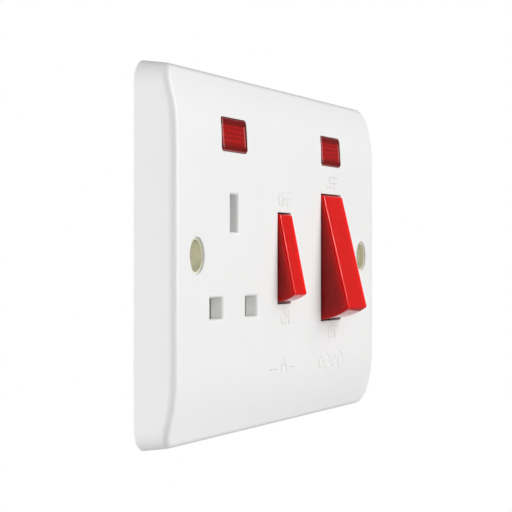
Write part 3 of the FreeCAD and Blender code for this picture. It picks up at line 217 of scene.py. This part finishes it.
class Shader:
    """A material whose principled shader gets its detail from a few noise fields."""

    def __init__(self, name, **sockets):
        self.material = bpy.data.materials.new(name)
        self.material.use_nodes = True
        self.tree = self.material.node_tree
        self.surface = self.tree.nodes["Principled BSDF"]
        self.place = self.tree.nodes.new("ShaderNodeTexCoord").outputs["Object"]
        for socket, setting in sockets.items():
            self.surface.inputs[socket.replace("_", " ")].default_value = setting

    def add(self, kind, **settings):
        node = self.tree.nodes.new(kind)
        for name, setting in settings.items():
            setattr(node, name, setting)
        return node

    def link(self, source, target):
        self.tree.links.new(source, target)

    def noise(self, grain, detail=2.0):
        """A noise field whose lumps are about grain metres across."""
        node = self.add("ShaderNodeTexNoise")
        self.link(self.place, node.inputs["Vector"])
        node.inputs["Scale"].default_value = 1.0 / grain
        node.inputs["Detail"].default_value = detail
        return node.outputs["Fac"]

    def bands(self, pitch):
        """Level bands that lie pitch apart and waver a little."""
        node = self.add("ShaderNodeTexWave", wave_type="BANDS", bands_direction="Z", wave_profile="SIN")
        self.link(self.place, node.inputs["Vector"])
        node.inputs["Scale"].default_value = WAVE_UNIT / pitch
        node.inputs["Distortion"].default_value = 1.0
        node.inputs["Detail"].default_value = 1.0
        return node.outputs["Fac"]

    def remap(self, field, start, end, low, high):
        """Turns the stretch of a field from start to end into values from low to high."""
        node = self.add("ShaderNodeMapRange", interpolation_type="SMOOTHSTEP")
        self.link(field, node.inputs["Value"])
        node.inputs["From Min"].default_value = start
        node.inputs["From Max"].default_value = end
        node.inputs["To Min"].default_value = low
        node.inputs["To Max"].default_value = high
        return node.outputs["Result"]

    def ramp(self, field, low, high):
        """Maps the middle of a field to the range from low to high."""
        return self.remap(field, FIELD_LOW, FIELD_HIGH, low, high)

    def within(self, axis, level, reach, fade, inside=1.0, outside=0.0):
        """Two values, for points nearer than reach to a level along an axis and for those outside."""
        place = self.add("ShaderNodeSeparateXYZ")
        self.link(self.place, place.inputs["Vector"])
        away = self.add("ShaderNodeMath", operation="SUBTRACT")
        self.link(place.outputs[axis], away.inputs[0])
        away.inputs[1].default_value = level
        distance = self.add("ShaderNodeMath", operation="ABSOLUTE")
        self.link(away.outputs["Value"], distance.inputs[0])
        return self.remap(distance.outputs["Value"], reach - fade, reach + fade, inside, outside)

    def joined(self, operation, first, second):
        """Two fields as one, such as their product."""
        node = self.add("ShaderNodeMath", operation=operation)
        self.link(first, node.inputs[0])
        self.link(second, node.inputs[1])
        return node.outputs["Value"]

    def coat(self, under, colour, share):
        """A colour laid over another, or over a field of colour, as far as the field share says."""
        node = self.add("ShaderNodeMix", data_type="RGBA")
        self.link(share, node.inputs["Factor"])
        if isinstance(under, tuple):
            node.inputs["A"].default_value = (*under, 1.0)
        else:
            self.link(under, node.inputs["A"])
        node.inputs["B"].default_value = (*colour, 1.0)
        return node.outputs["Result"]

    def paint(self, field):
        self.link(field, self.surface.inputs["Base Color"])

    def mottle(self, colour, stain, grain):
        """Colour that drifts between two close shades."""
        stained = tuple(channel * stain for channel in colour)
        self.paint(self.coat(colour, stained, self.ramp(self.noise(grain), 0.0, 1.0)))

    def uneven_gloss(self, low, high, grain):
        self.link(self.ramp(self.noise(grain), low, high), self.surface.inputs["Roughness"])

    def relief(self, field, depth, edge=0.0):
        """Fine bumps, on edges that look rounded by the radius edge."""
        node = self.add("ShaderNodeBump")
        node.inputs["Distance"].default_value = depth
        self.link(field, node.inputs["Height"])
        if edge:
            rounded = self.add("ShaderNodeBevel", samples=EDGE_SAMPLES)
            rounded.inputs["Radius"].default_value = edge
            self.link(rounded.outputs["Normal"], node.inputs["Normal"])
        self.link(node.outputs["Normal"], self.surface.inputs["Normal"])


def finish(
    name, colour, stain, stain_grain, bump_grain, bump_depth,
    gloss=None, gloss_grain=None, bump_detail=2.0, edge=0.0, **sockets,
):
    """The material of one of the finishes."""
    shader = Shader(name, **sockets)
    shader.mottle(colour, stain, stain_grain)
    if gloss:
        shader.uneven_gloss(*gloss, gloss_grain)
    shader.relief(shader.noise(bump_grain, bump_detail), bump_depth, edge)
    return shader.material


def lens_with_painted_light(node):
    """Clear red plastic, painted with light and shade: a lit band for its moulded rib pattern, painted
    shade above, below and at its right end, a painted highlight for light bent in that rounded end, a
    painted reflection along its top and bottom edges, and painted glints.
    """
    low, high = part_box(node)
    middle = (low + high) / 2
    right_end = middle.x + LENS_HALF_WIDTH
    rim_reflection_start = LENS_HALF_HEIGHT - LENS_RIM
    shaded_border_reach = STRIPE_INSET - STRIPE_HALF_WIDTH
    shader = Shader(f"{node}_plastic", Specular_IOR_Level=0.3)
    # Painted light through the rib pattern, with painted shade in its valleys
    rib_shading = shader.ramp(shader.bands(RIBS_PITCH), RIB_VALLEY_SHARE, 1.0)
    # Painted shade of the dark hollow behind the lens, above and below the lit band
    lit_band = shader.within("Z", middle.z - LIT_BAND_DROP, LIT_BAND_HALF_HEIGHT, LIT_BAND_FADE)
    # Painted glints in the clear plastic
    painted_glints = shader.ramp(shader.noise(GLINT_GRAIN), 0.0, GLINT_SHARE)
    lit = shader.joined("MAXIMUM", shader.joined("MULTIPLY", rib_shading, lit_band), painted_glints)
    colour = shader.coat(LENS_PAINTED_SHADE, LENS_PAINTED_LIGHT, lit)
    # Painted shade along the gap at the lens's right end
    shaded_border = shader.within("X", right_end, shaded_border_reach, STRIPE_FADE)
    colour = shader.coat(colour, LENS_PAINTED_SHADE, shaded_border)
    # Painted highlight of light bent in the rounded right end
    stripe_highlight = shader.within("X", right_end - STRIPE_INSET, STRIPE_HALF_WIDTH, STRIPE_FADE)
    colour = shader.coat(colour, LENS_STRIPE_HIGHLIGHT, shader.joined("MULTIPLY", stripe_highlight, lit_band))
    # Painted reflection along the rounded top and bottom edges
    rim_reflection = shader.within("Z", middle.z, rim_reflection_start, LENS_RIM_FADE, inside=0.0, outside=1.0)
    shader.paint(shader.coat(colour, LENS_RIM_REFLECTION, rim_reflection))
    shader.uneven_gloss(*LENS_GLOSS, LENS_GLOSS_GRAIN)
    shader.relief(shader.noise(LENS_BUMP_GRAIN), LENS_BUMP_DEPTH)
    return shader.material


def dress_nodes(materials):
    """Each node takes its slot's material, apart from the bushes and the two lenses."""
    special = {"fixing_bushes": materials["bush_plating"]}
    for node in ("socket_neon_lens", "cooker_neon_lens"):
        special[node] = lens_with_painted_light(node)
    for item in frame["record"]["subparts"]:
        node = item["node"]
        mesh = frame["nodes"][node].data
        mesh.materials.clear()
        mesh.materials.append(special.get(node) or materials[item["material_slot"]])


# Objects

def new_object(name, data):
    item = bpy.data.objects.new(name, data)
    bpy.context.scene.collection.objects.link(item)
    return item


def aim(item, direction):
    """Turns a camera or a light to look along a direction."""
    item.rotation_mode = "QUATERNION"
    item.rotation_quaternion = direction.to_track_quat("-Z", "Y")


# Raised markings

def arc(across, up, radius_x, radius_z, start, end):
    """Points along an ellipse's arc, angles in degrees."""
    points = []
    for step in range(ARC_STEPS + 1):
        angle = math.radians(start + (end - start) * step / ARC_STEPS)
        points.append((across + radius_x * math.cos(angle), up + radius_z * math.sin(angle)))
    return points


def letter_strokes(letter):
    """The strokes of an O, an N or an F about the letter's middle."""
    half_width, half_height = LETTER_WIDTH / 2, LETTER_HEIGHT / 2
    low_left, high_left = (-half_width, -half_height), (-half_width, half_height)
    low_right, high_right = (half_width, -half_height), (half_width, half_height)
    if letter == "O":
        return [arc(0, 0, half_width, half_height, 0, 360)]
    if letter == "N":
        return [[low_left, high_left, low_right, high_right]]
    lower_bar = [(-half_width, 0), (half_width * LOWER_BAR_SHARE, 0)]
    return [[low_left, high_left, high_right], lower_bar]


def word_strokes(word):
    start = -LETTER_PITCH * (len(word) - 1) / 2
    strokes = []
    for place, letter in enumerate(word):
        shift = start + place * LETTER_PITCH
        strokes += [[(a + shift, b) for a, b in stroke] for stroke in letter_strokes(letter)]
    return strokes


def outlet_sign():
    """The drawing sign of a socket outlet: a half round on a stem, between two dashes."""
    top = OUTLET_RADIUS / 2
    strokes = [
        arc(0, -top, OUTLET_RADIUS, OUTLET_RADIUS, 0, 180),
        [(-OUTLET_RADIUS, top), (OUTLET_RADIUS, top)],
        [(0, top), (0, top + OUTLET_STEM)],
    ]
    for side in (-1, 1):
        strokes.append([(side * OUTLET_DASH_START, 0), (side * OUTLET_DASH_END, 0)])
    return strokes


def hob_sign():
    """A row of rings for the cooking plates, small and large in turn."""
    strokes = []
    for place in range(RING_COUNT):
        radius = RING_RADII[place % len(RING_RADII)]
        across = (place - (RING_COUNT - 1) / 2) * RING_PITCH
        strokes.append(arc(across, 0, radius, radius, 0, 360))
    return strokes


def face_depth(across, up):
    """How far back the plate's face lies at a point of it."""
    found, place, _, _ = PLATE.ray_cast(Vector((across, FACE_Y - MM, up)), Vector((0, 1, 0)))
    return place.y if found else FACE_Y


def raise_marking(name, strokes, middle_x, middle_z, material):
    """Round beads along the strokes, more than half sunk in the face."""
    curve = bpy.data.curves.new(name, "CURVE")
    curve.dimensions = "3D"
    curve.bevel_depth = BEAD_RADIUS
    curve.bevel_resolution = BEAD_STEPS
    curve.use_fill_caps = True
    for stroke in strokes:
        closed = (Vector(stroke[0]) - Vector(stroke[-1])).length < BEAD_RADIUS
        points = stroke[:-1] if closed else stroke
        spline = curve.splines.new("POLY")
        spline.points.add(len(points) - 1)
        spline.use_cyclic_u = closed
        for point, (across, up) in zip(spline.points, points):
            x, z = middle_x + across, middle_z + up
            point.co = (x, face_depth(x, z) + BEAD_SINK, z, 1.0)
    drawn = new_object(name, curve)
    bpy.context.view_layer.update()
    mesh = bpy.data.meshes.new_from_object(drawn.evaluated_get(bpy.context.evaluated_depsgraph_get()))
    bpy.data.objects.remove(drawn)
    piece = new_object(name, mesh)
    mesh.materials.clear()
    mesh.materials.append(material)
    for face in mesh.polygons:
        face.use_smooth = True
    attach(piece, "housing")
    return piece


def add_markings(material):
    """All the raised markings, each about its place on the face in millimetres."""
    markings = {
        "socket_off_word": (word_strokes("OFF"), -3.3, 14.5),
        "socket_on_word": (word_strokes("ON"), -3.3, -15.4),
        "cooker_off_word": (word_strokes("OFF"), 33.7, 20.0),
        "cooker_on_word": (word_strokes("ON"), 33.7, -20.6),
        "outlet_sign": (outlet_sign(), -4.0, -28.4),
        "hob_sign": (hob_sign(), 32.8, -28.4),
    }
    return [
        raise_marking(name, strokes, across * MM, up * MM, material)
        for name, (strokes, across, up) in markings.items()
    ]


# Plate

def is_slot_mouth(edge):
    """Whether a sharp edge lies on the face and belongs to one of the pin ways."""
    for corner in edge.verts:
        across, depth, up = corner.co
        if abs(depth - FACE_Y) > SAME_PLACE or abs(up) > SLOTS_HALF_HEIGHT:
            return False
        if not SLOTS_LEFT < across < SLOTS_RIGHT:
            return False
    return edge.calc_face_angle(0.0) > SHARP_ANGLE


def round_slots(material):
    """The plate again, with the mouths of its pin ways rounded."""
    shape = bmesh.new()
    shape.from_mesh(PLATE.data)
    bmesh.ops.remove_doubles(shape, verts=shape.verts, dist=SAME_PLACE)
    bmesh.ops.dissolve_limit(shape, angle_limit=FLAT_ANGLE, verts=shape.verts, edges=shape.edges)
    mouths = [edge for edge in shape.edges if is_slot_mouth(edge)]
    bmesh.ops.bevel(
        shape, geom=mouths, offset=SLOT_ROUND, offset_type="OFFSET", segments=SLOT_ROUND_STEPS,
        profile=0.5, affect="EDGES", clamp_overlap=False,
    )
    bmesh.ops.triangulate(shape, faces=shape.faces)
    for face in shape.faces:
        face.smooth = True
    for edge in shape.edges:
        edge.smooth = edge.calc_face_angle(0.0) < SHARP_ANGLE
    mesh = bpy.data.meshes.new("plate_moulding")
    shape.to_mesh(mesh)
    shape.free()
    mesh.materials.append(material)
    piece = new_object("plate_moulding", mesh)
    weighted = piece.modifiers.new("weighted_normals", "WEIGHTED_NORMAL")
    weighted.keep_sharp = True
    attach(piece, "housing")
    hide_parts("front_plate")
    return piece


# Shutter's spring

def add_spring(material):
    """The shutter's spring again, as its own piece on the housing."""
    piece = new_object("shutter_coil", frame["nodes"]["shutter_spring"].data.copy())
    piece.data.materials.clear()
    piece.data.materials.append(material)
    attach(piece, "housing")
    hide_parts("shutter_spring")
    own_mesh(piece)


# Studio

def add_camera():
    data = bpy.data.cameras.new("camera")
    data.lens = CAMERA_LENS
    data.sensor_width = SENSOR_WIDTH
    data.clip_start = CAMERA_NEAR
    data.clip_end = CAMERA_FAR
    camera = new_object("camera", data)
    camera.location = CAMERA_PLACE
    level = math.cos(CAMERA_TILT)
    aim(camera, Vector((
        math.sin(CAMERA_TURN) * level,
        math.cos(CAMERA_TURN) * level,
        math.sin(CAMERA_TILT),
    )))
    bpy.context.scene.camera = camera


def add_light(name, receivers):
    """A soft box that faces the object and lights all of it, or only its receivers if it has any."""
    place, (width, height), power = LIGHTS[name]
    data = bpy.data.lights.new(name, "AREA")
    data.shape = "RECTANGLE"
    data.size = width
    data.size_y = height
    data.energy = power
    light = new_object(name, data)
    light.location = Vector(place)
    aim(light, -Vector(place))
    if receivers:
        lit = bpy.data.collections.new(f"{name}_receivers")
        for piece in receivers:
            lit.objects.link(piece)
        light.light_linking.receiver_collection = lit


def add_floor():
    """A pale studio floor well below the object, which hangs as on its wall."""
    corners = []
    for step in range(FLOOR_STEPS):
        angle = 2 * math.pi * step / FLOOR_STEPS
        corners.append((FLOOR_RADIUS * math.cos(angle), FLOOR_RADIUS * math.sin(angle), FLOOR_LEVEL))
    mesh = bpy.data.meshes.new("floor")
    mesh.from_pydata(corners, [], [range(FLOOR_STEPS)])
    floor = new_object("floor", mesh)
    shader = Shader("floor_paint", Roughness=0.8, Specular_IOR_Level=0.2)
    shader.mottle(FLOOR_COLOUR, FLOOR_STAIN, FLOOR_GRAIN)
    mesh.materials.append(shader.material)


def add_world():
    """A white surround for the camera, and a dimmer one that fills the shadows."""
    world = bpy.data.worlds.new("studio")
    world.use_nodes = True
    tree = world.node_tree
    tree.nodes.clear()
    path = tree.nodes.new("ShaderNodeLightPath")
    mix = tree.nodes.new("ShaderNodeMixShader")
    output = tree.nodes.new("ShaderNodeOutputWorld")
    tree.links.new(path.outputs["Is Camera Ray"], mix.inputs["Fac"])
    for strength, socket in ((FILL_STRENGTH, mix.inputs[1]), (SEEN_STRENGTH, mix.inputs[2])):
        background = tree.nodes.new("ShaderNodeBackground")
        background.inputs["Color"].default_value = (1.0, 1.0, 1.0, 1.0)
        background.inputs["Strength"].default_value = strength
        tree.links.new(background.outputs["Background"], socket)
    tree.links.new(mix.outputs["Shader"], output.inputs["Surface"])
    bpy.context.scene.world = world


def add_studio(plate, markings):
    receivers = {
        "rocker_light": [frame["nodes"][name] for name in ("socket_rocker", "cooker_rocker")],
        "plate_light": [plate, BUSHES, *markings],
    }
    add_camera()
    add_world()
    add_floor()
    for name in LIGHTS:
        add_light(name, receivers.get(name))
    bpy.context.scene.view_settings.view_transform = "Standard"


MATERIALS = {name: finish(name, **settings) for name, settings in FINISHES.items()}
dress_nodes(MATERIALS)
MARKINGS = add_markings(MATERIALS["marking_plastic"])
add_spring(MATERIALS["spring_steel"])
add_studio(round_slots(MATERIALS["plate_plastic"]), MARKINGS)
